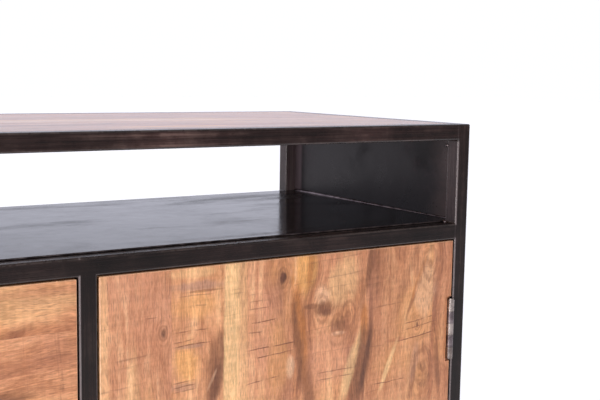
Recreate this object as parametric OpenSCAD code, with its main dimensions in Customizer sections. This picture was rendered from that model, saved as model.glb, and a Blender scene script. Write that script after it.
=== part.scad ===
// Sideboard buffet: a welded square-tube steel frame with a planked hardwood top,
// an open display compartment, two hinged doors and a centre bank of three drawers.
// Millimetres, +Z up, front towards -Y, floor at Z = 0, centred on the floor.

/* [Overall size] */
// Width over the outside of the frame
body_w = 1500; // [1460:10:1700]
// Depth of the frame from its front face to its rear face
body_d = 415; // [390:5:450]
// Height from the floor to the wooden top
body_h = 800; // [760:5:900]
// Height of the bottom rails above the floor
leg_h = 100; // [60:5:140]
// Clear height of the open compartment under the top
open_h = 107; // [95:1:160]
// Clear width of each door opening
door_open_w = 488; // [440:2:500]

/* [Frame] */
// Outside size of the square tube
tube = 20; // [18:1:25]
// Wall thickness of the tube
tube_wall = 1.5; // [1.2:0.1:2]
// Outside corner radius of the tube
tube_r = 2; // [1:0.5:2.5]
// Thickness of the steel sheet in the sides and the shelf
sheet = 1.5; // [1:0.1:2]
// How far the side sheets sit in from the outside of the tubes
side_inset = 1.5; // [1:0.5:4]
// How far the shelf sheet stands above the top of the mid rails
shelf_rise = 2; // [0:0.5:4]

/* [Wood] */
// Thickness of the door and drawer fronts
front_t = 20; // [18:1:22]
// Thickness of the wooden top
top_t = 17; // [14:1:17]
// Gap at the sides of the drawer fronts and at the free side of the doors
gap = 2; // [1.5:0.5:3]
// Gap above and below the doors and the drawer fronts
gap_z = 1.5; // [1:0.5:3]
// Glue line left between neighbouring planks
glue_line = 0.1; // [0.05:0.05:0.2]

/* [Hinges] */
// Length of each butt hinge
hinge_l = 78; // [64:1:90]
// Distance from the opening's top or bottom edge to the nearer hinge end
hinge_end = 77.5; // [60:0.5:100]
// Outside diameter of the hinge barrel
barrel_d = 9; // [8:0.5:10]
// Thickness of the hinge leaves
leaf_t = 1; // [0.8:0.1:1.1]

/* [Handles and drawers] */
// Length of each pull handle
handle_l = 160; // [120:4:200]
// How far a handle stands out from the front
handle_reach = 30; // [26:1:36]
// Section of the square handle bar
handle_bar = 8; // [7:1:10]
// Height of the drawer box sides
box_h = 130; // [100:5:135]

/* [Hidden] */
$fn = 48;

// Colours of the materials
steel_black = [0.16, 0.14, 0.14];
steel_bare = [0.62, 0.58, 0.56];
mango = [0.80, 0.58, 0.42];
board_dark = [0.22, 0.17, 0.14];
plywood = [0.78, 0.66, 0.50];
plastic_black = [0.06, 0.06, 0.06];

// Levels and planes. Depths inside the modules are measured from the frame's front face.
half_w = body_w / 2;
post_in = half_w - tube;
divider_out = post_in - door_open_w;
divider_in = divider_out - tube;
mid_top = body_h - tube - open_h;
mid_bot = mid_top - tube;
floor_top = leg_h + tube;
rear_in = body_d - tube;
front_y = (handle_reach - body_d) / 2;
side_face = half_w - side_inset - sheet;
shelf_top = mid_top + shelf_rise;
flange_h = 12;

// Boards and bars
foot_h = 3;
plug_h = 15;
partition_t = 16;
bottom_t = 12;
back_t = 6;
back_in = rear_in - back_t;
bearer_t = 3;
bearer_w = 30;
stiffener_t = tube - bottom_t;
stiffener_w = 25;
inner_shelf_t = 16;
inner_shelf_z = floor_top + 260;
cleat = 18;
cleat_t = 2;

// Doors
hinge_gap = 2.5;
door_free = divider_out + gap;
door_hung = post_in - hinge_gap;
door_z0 = floor_top + gap_z;
door_z1 = mid_bot - gap_z;
plank_share = [82, 65, 93, 105, 107, 32.4];
batten_t = 16;
batten_w = 60;
batten_x0 = door_free + 45;
batten_x1 = door_hung - 60;
batten_z = [door_z0 + 58, door_z1 - 58 - batten_w];
door_handle_x = door_free + 35;
door_mid_z = (door_z0 + door_z1) / 2;

// Hinges: both leaves lie in the gap between door and post. The barrel stands in a notch
// in the front edge of the door, with its axis just proud of the door's face.
barrel_r = barrel_d / 2;
post_space = 0.1;
pivot_x = post_in - barrel_r - post_space;
pivot_y = -1.5;
barrel_space = 0.5;
notch_end = 3.5;
pin_r = 2.45;
bore_r = 2.5;
leaf_depth = 17;
knuckles = 5;
knuckle_gap = 0.2;
knuckle_l = hinge_l / knuckles;
hinge_z = [floor_top + hinge_end, mid_bot - hinge_end - hinge_l];

// Screws
screw_r = 1.75;
screw_hole_r = 1.8;
screw_l = 14;
head_r = 3.5;
head_h = 2;
bolt_r = 2;
bolt_head_r = 4;
bolt_head_h = 2.5;
bolt_grip = 12;

// Drawers
front_count = 3;
front_h = (mid_bot - floor_top - gap_z * (front_count + 1)) / front_count;
box_t = 15;
box_end_t = 12;
box_out = divider_in - gap;
box_back = back_in - 14;
box_lift = 20;
drawer_bottom_t = 5;
drawer_bottom_lift = 8;
runner_h = 16;
runner_t = 9;
runner_y0 = 50;
groove_h = 17;
groove_depth = 7.5;

function front_z(i) = floor_top + gap_z + i * (front_h + gap_z);
function sum_to(v, n) = n <= 0 ? 0 : v[n - 1] + sum_to(v, n - 1);

// ---------- helpers ----------

module block(from, to) {
    translate(from) cube(to - from);
}

module at_front() {
    translate([0, front_y, 0]) children();
}

module mirrored(left) {
    if (left) mirror([1, 0, 0]) children();
    else children();
}

module rod(from, length, radius, dir) {
    turn = dir == "x" ? [0, 90, 0] : dir == "y" ? [-90, 0, 0] : [0, 0, 0];
    translate(from) rotate(turn) cylinder(h = length, r = radius);
}

// ---------- frame ----------

module rounded_square(size, r) {
    translate([r, 0]) square([size - 2 * r, size]);
    translate([0, r]) square([size, size - 2 * r]);
    for (x = [r, size - r], y = [r, size - r]) translate([x, y]) circle(r = r);
}

module tube_section() {
    difference() {
        rounded_square(tube, tube_r);
        translate([tube_wall, tube_wall]) square(tube - 2 * tube_wall);
    }
}

module tube_along_z(x, y, z0, z1) {
    translate([x, y, z0]) linear_extrude(z1 - z0) tube_section();
}

module tube_along_x(x0, x1, y, z) {
    translate([x0, y, z]) rotate([90, 0, 90]) linear_extrude(x1 - x0) tube_section();
}

module tube_along_y(x, y0, y1, z) {
    translate([x, y1, z]) rotate([90, 0, 0]) linear_extrude(y1 - y0) tube_section();
}

module hinge_screw_holes(x) {
    for (z = hinge_z, s = [0 : 2])
        rod([x, screw_depth(s), screw_z(z, s)], tube_wall + 1, screw_hole_r, "x");
}

module post(left, rear) {
    color(steel_black) at_front() mirrored(left) difference() {
        union() {
            tube_along_z(post_in, rear ? rear_in : 0, foot_h, body_h);
            block([post_in + tube_wall, (rear ? rear_in : 0) + tube_wall, body_h - tube_wall],
                  [half_w - tube_wall, (rear ? rear_in : 0) + tube - tube_wall, body_h]);
        }
        if (!rear) hinge_screw_holes(post_in - 0.5);
    }
}

module long_rail(z, rear) {
    color(steel_black) at_front() tube_along_x(-post_in, post_in, rear ? rear_in : 0, z);
}

module side_rail(z, left) {
    color(steel_black) at_front() mirrored(left) tube_along_y(post_in, tube, rear_in, z);
}

module divider(left) {
    color(steel_black) at_front() mirrored(left)
        tube_along_z(divider_in, 0, floor_top, mid_bot);
}

module foot_caps() {
    color(plastic_black) at_front()
        for (x = [-half_w, post_in], y = [0, rear_in]) translate([x, y, 0]) {
            linear_extrude(foot_h) rounded_square(tube, tube_r);
            block([tube_wall + 0.1, tube_wall + 0.1, foot_h],
                  [tube - tube_wall - 0.1, tube - tube_wall - 0.1, foot_h + plug_h]);
        }
}

module cross_bars() {
    color(steel_black) at_front() {
        for (x = bearer_x()) difference() {
            block([x - bearer_w / 2, tube, body_h - top_t - bearer_t],
                  [x + bearer_w / 2, rear_in, body_h - top_t]);
            for (y = top_screw_y())
                rod([x, y, body_h - top_t - bearer_t - 1], bearer_t + 2, screw_hole_r, "z");
        }
        for (x = [-divider_in - tube / 2, 0, divider_in + tube / 2])
            block([x - stiffener_w / 2, tube, leg_h],
                  [x + stiffener_w / 2, rear_in, leg_h + stiffener_t]);
    }
}

// ---------- sheet steel ----------

module side_panel(left) {
    color(steel_black) at_front() mirrored(left)
        block([side_face, tube, floor_top], [side_face + sheet, rear_in, body_h - tube]);
}

module display_shelf() {
    z0 = shelf_top - sheet;
    color(steel_black) at_front() {
        block([-side_face, tube, z0], [side_face, rear_in, shelf_top]);
        for (y = [tube, rear_in - sheet])
            block([-side_face, y, z0 - flange_h], [side_face, y + sheet, z0]);
    }
}

// ---------- wood ----------

top_share = [78, 66, 84, 70, 72];

module top_panel() {
    depth = rear_in - tube;
    unit = depth / sum_to(top_share, len(top_share));
    color(mango) at_front() difference() {
        for (i = [0 : len(top_share) - 1])
            block([-post_in, tube + unit * sum_to(top_share, i) + glue_line, body_h - top_t],
                  [post_in, tube + unit * sum_to(top_share, i + 1), body_h]);
        for (x = bearer_x(), y = top_screw_y())
            rod([x, y, body_h - top_t - 1], screw_l, screw_hole_r, "z");
    }
}

module partition(left) {
    color(board_dark) at_front() mirrored(left) difference() {
        union() {
            block([divider_in, tube, floor_top],
                  [divider_in + partition_t, back_in, shelf_top - sheet - flange_h]);
            block([divider_in, tube + sheet + 0.5, shelf_top - sheet - flange_h],
                  [divider_in + partition_t, back_in, shelf_top - sheet]);
        }
        for (i = [0 : front_count - 1], y = runner_screw_y())
            rod([divider_in - 1, y, runner_z(i) + runner_h / 2], 13, screw_hole_r, "x");
        for (y = cleat_screw_y())
            rod([divider_in + partition_t - 13, y, cleat_screw_z()], 14, screw_hole_r, "x");
    }
}

module bottom_panel() {
    color(board_dark) at_front()
        block([-post_in, tube, floor_top - bottom_t], [post_in, rear_in, floor_top]);
}

module back_panel() {
    color(board_dark) at_front() difference() {
        block([-side_face, back_in, floor_top],
              [side_face, rear_in, shelf_top - sheet - flange_h]);
        for (x = back_screw_x(), z = back_screw_z())
            rod([x, back_in - 1, z], back_t + 2, screw_hole_r, "y");
    }
}

module inner_shelf(left) {
    color(board_dark) at_front() mirrored(left)
        block([divider_in + partition_t + 1, 50, inner_shelf_z],
              [side_face - 3, back_in - 2, inner_shelf_z + inner_shelf_t]);
}

module cleat_pair() {
    x0 = divider_in + partition_t;
    y0 = 60;
    y1 = back_in - 10;
    difference() {
        union() {
            block([x0, y0, inner_shelf_z - cleat], [x0 + cleat_t, y1, inner_shelf_z]);
            block([x0, y0, inner_shelf_z - cleat_t], [x0 + cleat, y1, inner_shelf_z]);
        }
        for (y = cleat_screw_y()) rod([x0 - 1, y, cleat_screw_z()], 4, screw_hole_r, "x");
    }
    block([side_face - cleat_t, y0, inner_shelf_z - cleat], [side_face, y1, inner_shelf_z]);
    block([side_face - cleat, y0, inner_shelf_z - cleat_t], [side_face, y1, inner_shelf_z]);
}

module inner_shelf_cleats() {
    color(steel_black) at_front() for (left = [true, false]) mirrored(left) cleat_pair();
}

// ---------- door furniture on the carcass ----------

catch_z = mid_bot - 52;

module door_catches() {
    x0 = divider_in + partition_t;
    color(plastic_black) at_front() for (left = [true, false]) mirrored(left) {
        block([x0, front_t + 4, catch_z], [x0 + 22, front_t + 42, catch_z + 16]);
        block([x0 + 7, front_t + 1.7, catch_z + 2], [x0 + 21, front_t + 4, catch_z + 14]);
    }
}

module drawer_runners() {
    color(steel_bare) at_front() for (left = [true, false]) mirrored(left)
        for (i = [0 : front_count - 1]) difference() {
            block([divider_in - runner_t, runner_y0, runner_z(i)],
                  [divider_in, back_in - 4, runner_z(i) + runner_h]);
            for (y = runner_screw_y()) {
                rod([divider_in - runner_t - 1, y, runner_z(i) + runner_h / 2],
                    runner_t + 2, screw_hole_r, "x");
                rod([divider_in - runner_t - 1, y, runner_z(i) + runner_h / 2],
                    head_h + 1.2, head_r + 0.2, "x");
            }
        }
}

// ---------- screws ----------

function bearer_x() = [-post_in / 2, 0, post_in / 2];
function top_screw_y() = [80, body_d / 2, body_d - 80];
function back_screw_x() = [-half_w + tube * 0.6, -half_w / 3, half_w / 3, half_w - tube * 0.6];
function back_screw_z() = [floor_top + 30, shelf_top - 50];
function runner_z(i) = front_z(i) + box_lift + (box_h - runner_h) / 2;
function runner_screw_y() = [runner_y0 + 30, back_in - 44];
function cleat_screw_y() = [100, back_in - 60];
function cleat_screw_z() = inner_shelf_z - cleat / 2 - 1;
function screw_z(z0, s) = z0 + hinge_l * (s * 2 + 1) / 6;
function screw_depth(s) = s == 1 ? 12 : 7.5;

// A pan-head screw whose head sits on the plane through the origin, pointing along +Z
module pan_screw() {
    translate([0, 0, -head_h]) cylinder(h = head_h, r = head_r);
    cylinder(h = screw_l, r = screw_r);
}

// A countersunk screw whose head is flush with the plane through the origin
module flat_screw(length) {
    cylinder(h = leaf_t, r1 = head_r - 0.2, r2 = screw_r);
    translate([0, 0, leaf_t]) cylinder(h = length, r = screw_r);
}

module carcass_screws() {
    color(steel_bare) at_front() {
        for (x = bearer_x(), y = top_screw_y())
            translate([x, y, body_h - top_t - bearer_t]) pan_screw();
        for (x = back_screw_x(), z = back_screw_z())
            translate([x, back_in, z]) rotate([-90, 0, 0]) short_screw(abs(x) > post_in);
        for (left = [true, false]) mirrored(left) {
            for (i = [0 : front_count - 1], y = runner_screw_y())
                translate([divider_in - runner_t + head_h + 0.2, y,
                           runner_z(i) + runner_h / 2])
                    rotate([0, 90, 0]) pan_screw();
            for (y = cleat_screw_y())
                translate([divider_in + partition_t + cleat_t, y, cleat_screw_z()])
                    rotate([0, -90, 0]) pan_screw();
        }
    }
}

// The screws through the back panel are held by its own thickness
module short_screw(in_post) {
    translate([0, 0, -head_h]) cylinder(h = head_h, r = head_r);
    cylinder(h = back_t - 0.1, r = screw_r);
}

module hinge_post_screws() {
    color(steel_bare) at_front() for (left = [true, false]) mirrored(left)
        for (z = hinge_z, s = [0 : 2])
            translate([post_in - leaf_t, screw_depth(s), screw_z(z, s)])
                rotate([0, 90, 0]) flat_screw(7);
}

// ---------- hinges ----------

// The leaf between leaf_x and leaf_x + leaf_t, with every second barrel knuckle from the
// one numbered first. Its screw heads are flush with the side named by head_side.
module leaf(first, leaf_x, head_side) {
    difference() {
        union() {
            for (k = [first : 2 : knuckles - 1])
                translate([pivot_x, pivot_y, k * knuckle_l + knuckle_gap / 2])
                    cylinder(h = knuckle_l - knuckle_gap, r = barrel_r);
            difference() {
                block([leaf_x, 0, 0], [leaf_x + leaf_t, leaf_depth, hinge_l]);
                for (k = [1 - first : 2 : knuckles - 1])
                    block([leaf_x - 1, -1, k * knuckle_l - knuckle_gap / 2],
                          [leaf_x + leaf_t + 1, pivot_y + barrel_r + barrel_space,
                           (k + 1) * knuckle_l + knuckle_gap / 2]);
            }
        }
        translate([pivot_x, pivot_y, -1]) cylinder(h = hinge_l + 2, r = bore_r);
        for (s = [0 : 2])
            translate([head_side == "left" ? leaf_x : leaf_x + leaf_t,
                       screw_depth(s), screw_z(0, s)])
                rotate([0, head_side == "left" ? 90 : -90, 0])
                    cylinder(h = leaf_t, r1 = head_r - 0.15, r2 = screw_hole_r);
    }
}

module hinge_post_leaves() {
    color(steel_black) at_front() for (left = [true, false]) mirrored(left)
        for (z = hinge_z) translate([0, 0, z]) leaf(1, post_in - leaf_t, "left");
}

module hinge_door_leaves(left) {
    color(steel_bare) at_front() mirrored(left)
        for (z = hinge_z) translate([0, 0, z]) leaf(0, door_hung, "right");
}

module hinge_pins(left) {
    color(steel_bare) at_front() mirrored(left) for (z = hinge_z)
        translate([pivot_x, pivot_y, z]) {
            translate([0, 0, -0.5]) cylinder(h = hinge_l + 0.5, r = pin_r);
            translate([0, 0, hinge_l]) cylinder(h = 1.2, r = barrel_r - 0.6);
        }
}

// ---------- doors ----------

module door_planks() {
    width = door_hung - door_free;
    unit = width / sum_to(plank_share, len(plank_share));
    for (i = [0 : len(plank_share) - 1])
        block([door_free + unit * sum_to(plank_share, i) + glue_line, 0, door_z0],
              [door_free + unit * sum_to(plank_share, i + 1), front_t, door_z1]);
}

module door_panel(left) {
    notch_r = barrel_r + barrel_space;
    color(mango) at_front() mirrored(left) difference() {
        door_planks();
        for (z = hinge_z) {
            block([pivot_x - notch_r, -1, z - notch_end],
                  [door_hung + 1, pivot_y + notch_r, z + hinge_l + notch_end]);
            for (s = [0 : 2])
                rod([door_hung - 16.5, screw_depth(s), screw_z(z, s)], 17,
                    screw_hole_r, "x");
        }
        for (z = handle_bolts(door_mid_z))
            rod([door_handle_x, -1, z], front_t + 2, bolt_r + 0.2, "y");
    }
}

module door_battens(left) {
    color(mango) at_front() mirrored(left) for (z = batten_z)
        block([batten_x0, front_t, z], [batten_x1, front_t + batten_t, z + batten_w]);
}

function handle_bolts(centre) = [centre - handle_l / 2 + handle_bar / 2,
                                 centre + handle_l / 2 - handle_bar / 2];

// A square-bar pull along +Z, centred on the origin, standing out towards -Y
module handle() {
    b = handle_bar / 2;
    difference() {
        block([-b, -handle_reach, -handle_l / 2], [b, 0, handle_l / 2]);
        block([-b - 1, -handle_reach + handle_bar, -handle_l / 2 + handle_bar],
              [b + 1, 1, handle_l / 2 - handle_bar]);
        for (z = handle_bolts(0)) rod([0, -bolt_grip - 0.5, z], bolt_grip + 1,
                                      bolt_r + 0.05, "y");
    }
}

module handle_screws(grip) {
    for (z = handle_bolts(0)) {
        rod([0, -bolt_grip, z], bolt_grip + grip, bolt_r, "y");
        rod([0, grip, z], bolt_head_h, bolt_head_r, "y");
    }
}

module door_handle(left) {
    color(steel_black) at_front() mirrored(left)
        translate([door_handle_x, 0, door_mid_z]) handle();
}

module door_screws(left) {
    color(steel_bare) at_front() mirrored(left) {
        translate([door_handle_x, 0, door_mid_z]) handle_screws(front_t);
        for (z = hinge_z, s = [0 : 2])
            translate([door_hung + leaf_t, screw_depth(s), screw_z(z, s)])
                rotate([0, -90, 0]) flat_screw(16 - leaf_t);
    }
}

module strike_plate(left) {
    x0 = divider_in + partition_t;
    color(steel_bare) at_front() mirrored(left)
        block([x0 + 8, front_t, catch_z - 4], [x0 + 26, front_t + 1.2, catch_z + 20]);
}

// ---------- drawers ----------

drawer_share = [52, 71, 52];

module drawer_front(i) {
    unit = front_h / sum_to(drawer_share, len(drawer_share));
    color(mango) at_front() difference() {
        for (p = [0 : len(drawer_share) - 1])
            block([-box_out, 0, front_z(i) + unit * sum_to(drawer_share, p) + glue_line],
                  [box_out, front_t, front_z(i) + unit * sum_to(drawer_share, p + 1)]);
        for (x = handle_bolts(0))
            rod([x, -1, front_z(i) + front_h / 2], front_t + 2, bolt_r + 0.2, "y");
    }
}

module drawer_side(z0) {
    difference() {
        block([box_out - box_t, front_t, z0], [box_out, box_back, z0 + box_h]);
        block([box_out - groove_depth, runner_y0 - 0.5, z0 + (box_h - groove_h) / 2],
              [box_out + 1, box_back + 1, z0 + (box_h + groove_h) / 2]);
        block([box_out - box_t - 1, front_t + box_end_t - 5, z0 + drawer_bottom_lift],
              [box_out - box_t + 5, box_back + 1,
               z0 + drawer_bottom_lift + drawer_bottom_t + 0.2]);
    }
}

module drawer_box(i) {
    z0 = front_z(i) + box_lift;
    in = box_out - box_t;
    color(plywood) at_front() {
        for (left = [true, false]) mirrored(left) drawer_side(z0);
        difference() {
            block([-in + glue_line, front_t, z0],
                  [in - glue_line, front_t + box_end_t, z0 + box_h]);
            block([-in - 1, front_t + box_end_t - 5, z0 + drawer_bottom_lift],
                  [in + 1, front_t + box_end_t + 1,
                   z0 + drawer_bottom_lift + drawer_bottom_t + 0.2]);
            for (x = handle_bolts(0))
                rod([x, front_t - 1, front_z(i) + front_h / 2], box_end_t + 2,
                    bolt_r + 0.2, "y");
        }
        block([-in + glue_line, box_back - box_end_t,
               z0 + drawer_bottom_lift + drawer_bottom_t + 0.3],
              [in - glue_line, box_back, z0 + box_h]);
        block([-in - 4.5, front_t + box_end_t - 4.5, z0 + drawer_bottom_lift + 0.1],
              [in + 4.5, box_back, z0 + drawer_bottom_lift + 0.1 + drawer_bottom_t]);
    }
}

module drawer_handle(i) {
    color(steel_black) at_front()
        translate([0, 0, front_z(i) + front_h / 2]) rotate([0, 90, 0]) handle();
}

module drawer_screws(i) {
    color(steel_bare) at_front()
        translate([0, 0, front_z(i) + front_h / 2]) rotate([0, 90, 0])
            handle_screws(front_t + box_end_t);
}

// ---------- nodes ----------

post(true, false);  // front_left_post
post(false, false);  // front_right_post
post(true, true);  // rear_left_post
post(false, true);  // rear_right_post
long_rail(body_h - tube, false);  // front_top_rail
long_rail(body_h - tube, true);  // rear_top_rail
side_rail(body_h - tube, true);  // left_top_rail
side_rail(body_h - tube, false);  // right_top_rail
long_rail(mid_bot, false);  // front_mid_rail
long_rail(mid_bot, true);  // rear_mid_rail
long_rail(leg_h, false);  // front_bottom_rail
long_rail(leg_h, true);  // rear_bottom_rail
side_rail(leg_h, true);  // left_bottom_rail
side_rail(leg_h, false);  // right_bottom_rail
divider(true);  // left_divider
divider(false);  // right_divider
foot_caps();
cross_bars();
top_panel();
display_shelf();
side_panel(true);  // left_side_panel
side_panel(false);  // right_side_panel
partition(true);  // left_partition
partition(false);  // right_partition
bottom_panel();
back_panel();
inner_shelf(true);  // left_inner_shelf
inner_shelf(false);  // right_inner_shelf
inner_shelf_cleats();
door_catches();
drawer_runners();
carcass_screws();
hinge_post_leaves();
hinge_post_screws();
door_panel(true);  // left_door_panel
door_battens(true);  // left_door_battens
door_handle(true);  // left_door_handle
door_screws(true);  // left_door_screws
hinge_door_leaves(true);  // left_hinge_door_leaves
hinge_pins(true);  // left_hinge_pins
strike_plate(true);  // left_strike_plate
door_panel(false);  // right_door_panel
door_battens(false);  // right_door_battens
door_handle(false);  // right_door_handle
door_screws(false);  // right_door_screws
hinge_door_leaves(false);  // right_hinge_door_leaves
hinge_pins(false);  // right_hinge_pins
strike_plate(false);  // right_strike_plate
drawer_front(2);  // top_drawer_front
drawer_box(2);  // top_drawer_box
drawer_handle(2);  // top_drawer_handle
drawer_screws(2);  // top_drawer_screws
drawer_front(1);  // middle_drawer_front
drawer_box(1);  // middle_drawer_box
drawer_handle(1);  // middle_drawer_handle
drawer_screws(1);  // middle_drawer_screws
drawer_front(0);  // bottom_drawer_front
drawer_box(0);  // bottom_drawer_box
drawer_handle(0);  // bottom_drawer_handle
drawer_screws(0);  // bottom_drawer_screws
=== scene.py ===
"""Sideboard buffet: the looks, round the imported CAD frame. Metres, +Z up, front to -Y."""

import bisect
import itertools
import math
import random

import bmesh
import bpy
from mathutils import Matrix, Vector, noise


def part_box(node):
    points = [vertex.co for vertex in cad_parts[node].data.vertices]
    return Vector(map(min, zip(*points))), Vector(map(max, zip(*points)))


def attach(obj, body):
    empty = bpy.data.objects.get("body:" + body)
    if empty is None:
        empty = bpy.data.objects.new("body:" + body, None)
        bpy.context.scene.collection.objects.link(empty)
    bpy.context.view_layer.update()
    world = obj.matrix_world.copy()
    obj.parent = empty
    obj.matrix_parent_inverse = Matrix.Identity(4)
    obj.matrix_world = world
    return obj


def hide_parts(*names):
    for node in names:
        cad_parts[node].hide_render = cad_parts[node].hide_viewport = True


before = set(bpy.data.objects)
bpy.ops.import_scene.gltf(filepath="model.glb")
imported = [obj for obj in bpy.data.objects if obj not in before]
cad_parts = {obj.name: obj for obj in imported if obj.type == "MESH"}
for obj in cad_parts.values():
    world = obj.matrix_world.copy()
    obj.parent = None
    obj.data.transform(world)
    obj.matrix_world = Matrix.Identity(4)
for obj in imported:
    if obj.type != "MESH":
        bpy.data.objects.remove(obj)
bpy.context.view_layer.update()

MM = 0.001
MERGE = 1e-6    # points closer than this are one point
ON_FACE = 1e-5  # points closer than this to a face lie on it
X, Y, Z = 0, 1, 2
AXES = (Vector((1, 0, 0)), Vector((0, 1, 0)), Vector((0, 0, 1)))


# ---------- places, all taken from the CAD frame ----------

POST_LO, POST_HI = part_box("front_right_post")
SHELF_LO, SHELF_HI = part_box("display_shelf")
SIDE_LO, SIDE_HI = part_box("right_side_panel")
REAR_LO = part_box("rear_right_post")[0]
DIVIDER_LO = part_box("right_divider")[0]
MID_RAIL_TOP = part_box("front_mid_rail")[1].z
TOP = POST_HI.z
TUBE = POST_HI.x - POST_LO.x
UNDER_TOP_RAIL = TOP - TUBE
SHEET = SIDE_HI.x - SIDE_LO.x
EDGE_RADIUS = 2 * MM
AROUND = ("front", "rear", "left", "right")
TUBE_NODES = [side + "_post" for side in ("front_left", "front_right", "rear_left", "rear_right")]
TUBE_NODES += [side + "_top_rail" for side in AROUND]
TUBE_NODES += ["front_mid_rail", "rear_mid_rail", "left_divider", "right_divider"]
TUBE_NODES += [side + "_bottom_rail" for side in AROUND]
DRAWERS = ("top", "middle", "bottom")
SIDES = {"left": -1, "right": 1}


# ---------- camera ----------

# The view of the upper right corner from the front left and a little above the top: the
# camera's place from that corner, its turns in degrees, and its lens and sensor in millimetres
CAMERA_FROM_CORNER = Vector((-918, -968, 61)) * MM
CAMERA_HEADING, CAMERA_TILT, CAMERA_ROLL = -34.18, -7.02, 0.94
CAMERA_LENS, CAMERA_SENSOR = 61.9, 36
CAMERA_NEAR = 20 * MM


def add_camera():
    data = bpy.data.cameras.new("camera")
    data.sensor_width = CAMERA_SENSOR
    data.lens = CAMERA_LENS
    data.clip_start = CAMERA_NEAR
    camera = bpy.data.objects.new("camera", data)
    bpy.context.scene.collection.objects.link(camera)
    corner = Vector((POST_HI.x, POST_LO.y, TOP))
    turn = Matrix.Rotation(math.radians(CAMERA_HEADING), 4, "Z")
    turn @= Matrix.Rotation(math.radians(90 + CAMERA_TILT), 4, "X")
    turn @= Matrix.Rotation(math.radians(CAMERA_ROLL), 4, "Z")
    camera.matrix_world = Matrix.Translation(corner + CAMERA_FROM_CORNER) @ turn
    bpy.context.scene.camera = camera


# ---------- material graphs ----------

def linear(red, green, blue):
    """A display colour, 0 to 255 each, as linear RGBA."""
    def channel(c):
        c /= 255
        return c / 12.92 if c <= 0.04045 else ((c + 0.055) / 1.055) ** 2.4
    return (channel(red), channel(green), channel(blue), 1)


class Graph:
    """A material and short ways to add nodes to it. Values are numbers, tuples or sockets."""

    def __init__(self, name):
        self.material = bpy.data.materials.new(name)
        self.material.use_nodes = True
        self.tree = self.material.node_tree
        self.shader = self.tree.nodes["Principled BSDF"]

    def new(self, kind, **settings):
        node = self.tree.nodes.new("ShaderNode" + kind)
        for key, value in settings.items():
            setattr(node, key, value)
        return node

    def put(self, socket, value):
        if isinstance(value, bpy.types.NodeSocket):
            self.tree.links.new(value, socket)
        else:
            socket.default_value = value

    def set(self, **inputs):
        for key, value in inputs.items():
            self.put(self.shader.inputs[key.replace("_", " ")], value)

    def math(self, operation, a, b=0.0, c=0.0):
        node = self.new("Math", operation=operation)
        for socket, value in zip(node.inputs, (a, b, c)):
            self.put(socket, value)
        return node.outputs[0]

    def add(self, a, b):
        return self.math("ADD", a, b)

    def times(self, a, b):
        return self.math("MULTIPLY", a, b)

    def minus(self, a, b):
        return self.math("SUBTRACT", a, b)

    def times_add(self, a, b, c):
        """a * b + c"""
        return self.math("MULTIPLY_ADD", a, b, c)

    def absolute(self, value):
        return self.math("ABSOLUTE", value)

    def rescale(self, value, low, high, to_low=0.0, to_high=1.0):
        """Smoothly maps low..high to to_low..to_high, and stays there outside."""
        node = self.new("MapRange", interpolation_type="SMOOTHSTEP")
        for socket, v in zip(node.inputs, (value, low, high, to_low, to_high)):
            self.put(socket, v)
        return node.outputs[0]

    def join(self, x, y, z):
        node = self.new("CombineXYZ")
        for socket, value in zip(node.inputs, (x, y, z)):
            self.put(socket, value)
        return node.outputs[0]

    def position(self):
        """The place at rest, which goes with the piece when it moves."""
        return self.new("TexCoord").outputs["Object"]

    def xyz(self):
        node = self.new("SeparateXYZ")
        self.put(node.inputs[0], self.position())
        return node.outputs

    def noise(self, place, scale=1.0, detail=3.0, rough=0.5, bend=0.0):
        node = self.new("TexNoise")
        self.put(node.inputs["Vector"], place)
        for key, value in (("Scale", scale), ("Detail", detail), ("Roughness", rough),
                           ("Distortion", bend)):
            self.put(node.inputs[key], value)
        return node.outputs[0]

    def ramp(self, value, *stops):
        node = self.new("ValToRGB")
        node.color_ramp.interpolation = "EASE"
        self.put(node.inputs[0], value)
        elements = node.color_ramp.elements
        for i, (at, colour) in enumerate(stops):
            element = elements[i] if i < 2 else elements.new(at)
            element.position = at
            element.color = colour
        return node.outputs[0]

    def mix(self, share, a, b, blend="MIX"):
        node = self.new("Mix", data_type="RGBA", blend_type=blend)
        for socket, value in ((node.inputs[0], share), (node.inputs[6], a), (node.inputs[7], b)):
            self.put(socket, value)
        return node.outputs[2]

    def shade(self, colour, value):
        """Multiplies a colour by a grey value."""
        return self.mix(1.0, colour, self.join(value, value, value), "MULTIPLY")

    def bump(self, height, distance):
        node = self.new("Bump")
        node.inputs["Distance"].default_value = distance
        node.inputs["Strength"].default_value = 1.0
        self.put(node.inputs["Height"], height)
        self.put(self.shader.inputs["Normal"], node.outputs[0])

    def attribute(self, name):
        return self.new("Attribute", attribute_name=name)


def stretched(g, across, along, axis):
    """The place scaled for streaks that run along one axis."""
    scale = [across] * 3
    scale[axis] = along
    return g.join(*[g.times(c, s) for c, s in zip(g.xyz(), scale)])


# Lacquer on the tubes, dark to pale, and on their corners, whole and rubbed
TUBE_TONES = (linear(18, 11, 11), linear(30, 19, 18), linear(54, 41, 38))
CORNER_WHOLE, CORNER_RUBBED = linear(34, 25, 24), linear(72, 60, 57)
# Painted light on the tubes: a pale tone painted on the inward faces, and a painted highlight on
# the edges beside them
PAINTED_LIGHT_FACE, PAINTED_EDGE_HIGHLIGHT = linear(112, 98, 100), linear(104, 93, 93)
# Mill scale on the sheets, and painted light: the paler tones painted beside the front and the
# rear posts
SCALE_DARK, SCALE_MIDDLE = linear(7, 6, 6), linear(16, 13, 13)
FRONT_PAINTED_LIGHT, REAR_PAINTED_LIGHT = linear(74, 60, 58), linear(112, 98, 102)


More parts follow.
